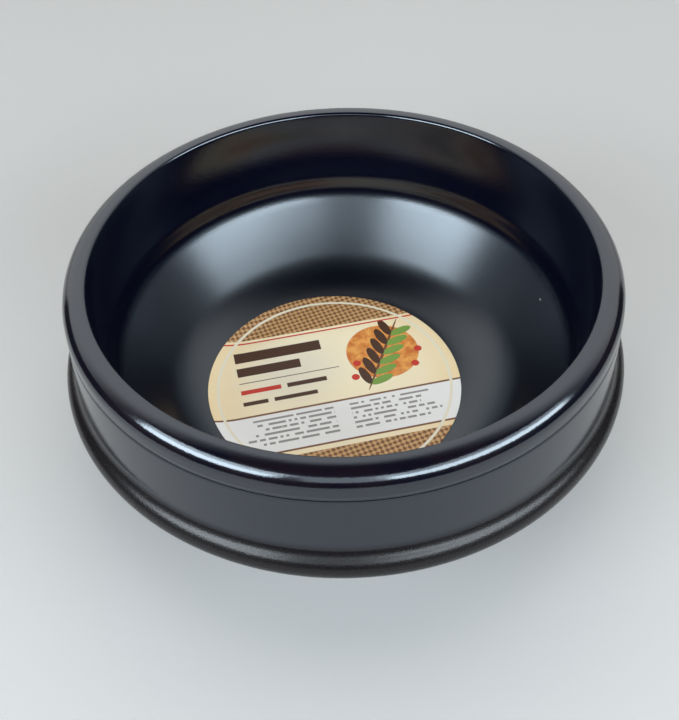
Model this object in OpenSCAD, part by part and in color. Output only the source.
// Glazed earthenware pot with a broad rounded lip and a rounded bead round its belly.
// The pot is one thrown and fired piece, and a round paper label lies on its inside floor.
// Millimetres, +Z up. The origin is the centre of the foot ring, on the surface it stands on.

/* [Rim] */
// Diameter across the shoulder of the lip
rim_d = 155; // [145:1:190]
// Width of the lip, from its shoulder to the mouth
lip_w = 7; // [7:0.1:9]
// Rounding of the lip's outer shoulder
lip_r = 5; // [3.5:0.1:5.2]
// Rounding of the lip's inner edge
edge_r = 1; // [0.6:0.1:1.8]

/* [Outer wall] */
// Overall height, from the table to the top of the lip
pot_h = 65; // [62:1:80]
// Lean of the wall, which widens downwards, in degrees
wall_lean = 4; // [1:0.5:5]
// Drop from the top of the lip to the incised line
line_drop = 7.6; // [6.5:0.1:12]
// Depth of the incised line
line_depth = 0.12; // [0.08:0.02:0.3]
// Radius of the tool tip that cut the line
line_tip = 0.7; // [0.6:0.05:1]

/* [Bead] */
// Drop from the top of the lip to the middle of the bead
bead_drop = 32; // [29:0.5:34]
// Radius of the bead's rounding
bead_r = 4.6; // [3.6:0.1:5]
// How far the bead stands out past the rim
bead_out = 5.1; // [4.2:0.1:6.2]
// Hollow where the wall runs out onto the bead
neck_r = 5; // [3:0.5:7]
// Hollow where the underside of the bead meets the belly
crook_r = 2.5; // [1.5:0.5:4]

/* [Belly and foot] */
// How far the belly starts inside the middle of the bead
belly_in = 4.5; // [3:0.5:6]
// Curve of the belly between the bead and the foot
belly_r = 60; // [45:1:90]
// Outer diameter of the foot ring, where the belly meets it
foot_d = 106; // [98:1:118]
// Height of the foot ring, up to where the belly starts
foot_h = 3.5; // [2.5:0.5:5]
// Width of the foot ring
foot_w = 8; // [6:0.5:12]
// Depth of the hollow inside the foot ring
foot_sink = 3; // [2:0.5:4.5]
// Thickness of the bottom, between the inside floor and the hollow of the foot
bottom_t = 7; // [5:0.5:9]
// Rounding of the foot ring's edges
foot_r = 1; // [0.5:0.1:1.2]

/* [Inside] */
// Straight part of the mouth, below the lip
mouth_drop = 7; // [3:0.5:8]
// Curve of the collar, which draws in below the mouth
collar_r = 60; // [50:1:70]
// How far the collar turns in, in degrees
collar_turn = 15; // [11:0.5:17]
// Soft ledge where the collar ends
ledge_r = 12; // [6:1:20]
// Crease between the ledge and the bowl
crease_r = 12; // [8:0.5:14]
// Curve of the bowl's side
bowl_r = 140; // [100:5:200]
// Curve that carries the bowl's side into the floor
heel_r = 24.5; // [20:0.5:26]
// Radius of the flat middle of the floor
flat_r = 36.5; // [34:0.5:40]

/* [Label] */
// Diameter of the paper label
label_d = 81; // [60:1:84]
// Thickness of the paper with its glue
label_t = 0.2; // [0.15:0.05:0.4]
// Sideways place of the label, which was stuck on a little off centre
label_x = -3.5; // [-6:0.5:6]

/* [Hidden] */
$fn = 96;

// The outline's arcs stray less than this from a true circle
arc_tol = 0.01;
// Reach of a cut past the face it opens
clear = 1;

function unit(v) = v / norm(v);

// Direction from point a to point b, in degrees
function bearing(a, b) = atan2(b[1] - a[1], b[0] - a[0]);

// Points of an arc round c, with both ends
function arc(c, r, from, to) =
    let (n = ceil(abs(to - from) / (2 * acos(1 - arc_tol / r))))
    [for (i = [0:n]) let (a = from + (to - from) * i / n) c + r * [cos(a), sin(a)]];

// Outline without the points that repeat the one before them, where two arcs meet
function joined(pts) =
    [for (i = [0:len(pts) - 1]) if (i == 0 || norm(pts[i] - pts[i - 1]) > arc_tol) pts[i]];

// Point that lies ra from a and rb from b, on the left of the way from a to b
function meet(a, ra, b, rb) =
    let (d = norm(b - a), u = unit(b - a), k = (ra * ra - rb * rb + d * d) / (2 * d))
    a + k * u + sqrt(ra * ra - k * k) * [-u[1], u[0]];

// First point along a line from p that lies r from c
function along(p, dir, c, r) =
    let (w = p - c, b = w * dir)
    p + (-b - sqrt(b * b - w * w + r * r)) * dir;

// Lip: a broad and a small rounding with a narrow flat crown between them
mouth_r = rim_d / 2 - lip_w;
lip_c = [rim_d / 2 - lip_r, pot_h - lip_r];
edge_c = [mouth_r + edge_r, pot_h - edge_r];

// Wall: a straight line that leaves the lip's rounding and leans out downwards
wall_out = [cos(wall_lean), sin(wall_lean)];
wall_down = [sin(wall_lean), -cos(wall_lean)];
wall_top = lip_c + lip_r * wall_out;

// Incised line: the mark of a round tool tip pressed into the wall
line_c = wall_top + (wall_top[1] - pot_h + line_drop) / cos(wall_lean) * wall_down
    + (line_tip - line_depth) * wall_out;
line_half = acos((line_tip - line_depth) / line_tip);

// Bead, with the hollow above it tangent to the wall and the bead
bead_c = [rim_d / 2 + bead_out - bead_r, pot_h - bead_drop];
neck_c = along(wall_top + neck_r * wall_out, wall_down, bead_c, bead_r + neck_r);

// Belly: one curve from under the bead to the foot, and the hollow that joins it to the bead
belly_top = [bead_c[0] - belly_in, bead_c[1] - bead_r];
foot_top = [foot_d / 2, foot_h];
belly_c = meet(foot_top, belly_r, belly_top, belly_r);
crook_c = meet(bead_c, bead_r + crook_r, belly_c, belly_r + crook_r);

// Foot ring, and the floor above its hollow
foot_in = foot_d / 2 - foot_w;
floor_z = foot_sink + bottom_t;

// Inside: collar, ledge, crease, bowl and heel, each tangent to the next
collar_c = [mouth_r - collar_r, pot_h - mouth_drop];
collar_low = collar_c + collar_r * [cos(collar_turn), -sin(collar_turn)];
ledge_c = collar_low + ledge_r * [cos(collar_turn), -sin(collar_turn)];
crease_c = [ledge_c[0] - ledge_r - crease_r, ledge_c[1]];
heel_c = [flat_r, floor_z + heel_r];
bowl_c = meet(heel_c, bowl_r - heel_r, crease_c, bowl_r - crease_r);
crease_end = bearing(bowl_c, crease_c);
heel_start = bearing(bowl_c, heel_c);

// Bowl, from the crease down its side and round the heel to the middle of the floor
bowl = concat(
    arc(bowl_c, bowl_r, crease_end, heel_start),
    arc(heel_c, heel_r, heel_start, -90),
    [[0, floor_z]]);

foot_ring = concat(
    [[0, foot_sink], [foot_in, foot_sink]],
    arc([foot_in + foot_r, foot_r], foot_r, 180, 270),
    arc([foot_d / 2 - foot_r, foot_r], foot_r, 270, 360));

outside = concat(
    arc(belly_c, belly_r, bearing(belly_c, foot_top), bearing(belly_c, crook_c)),
    arc(crook_c, crook_r, bearing(belly_c, crook_c) + 180, bearing(crook_c, bead_c)),
    arc(bead_c, bead_r, bearing(bead_c, crook_c), bearing(bead_c, neck_c)),
    arc(neck_c, neck_r, bearing(bead_c, neck_c) + 180, 180 + wall_lean),
    arc(line_c, line_tip, 180 + wall_lean + line_half, 180 + wall_lean - line_half));

lip = concat(
    arc(lip_c, lip_r, wall_lean, 90),
    arc(edge_c, edge_r, 90, 180));

inside = concat(
    arc(collar_c, collar_r, 0, -collar_turn),
    arc(ledge_c, ledge_r, 180 - collar_turn, 180),
    arc(crease_c, crease_r, 0, crease_end),
    bowl);

// The whole wall is one section turned round the pot's axis
module pot_body() {
    color([0.05, 0.05, 0.06])
    rotate_extrude()
    polygon(joined(concat(foot_ring, outside, lip, inside)));
}

// Space inside the bowl, up to the crease
module bowl_space() {
    polygon(joined(concat(bowl, [[0, bowl[0][1]]])));
}

// Paper that follows the floor and the start of the heel
module round_label() {
    color([0.95, 0.93, 0.87])
    intersection() {
        translate([label_x, 0, floor_z - clear]) cylinder(h = heel_r, d = label_d);
        rotate_extrude()
        difference() {
            bowl_space();
            translate([0, label_t]) bowl_space();
        }
    }
}

pot_body();
round_label();
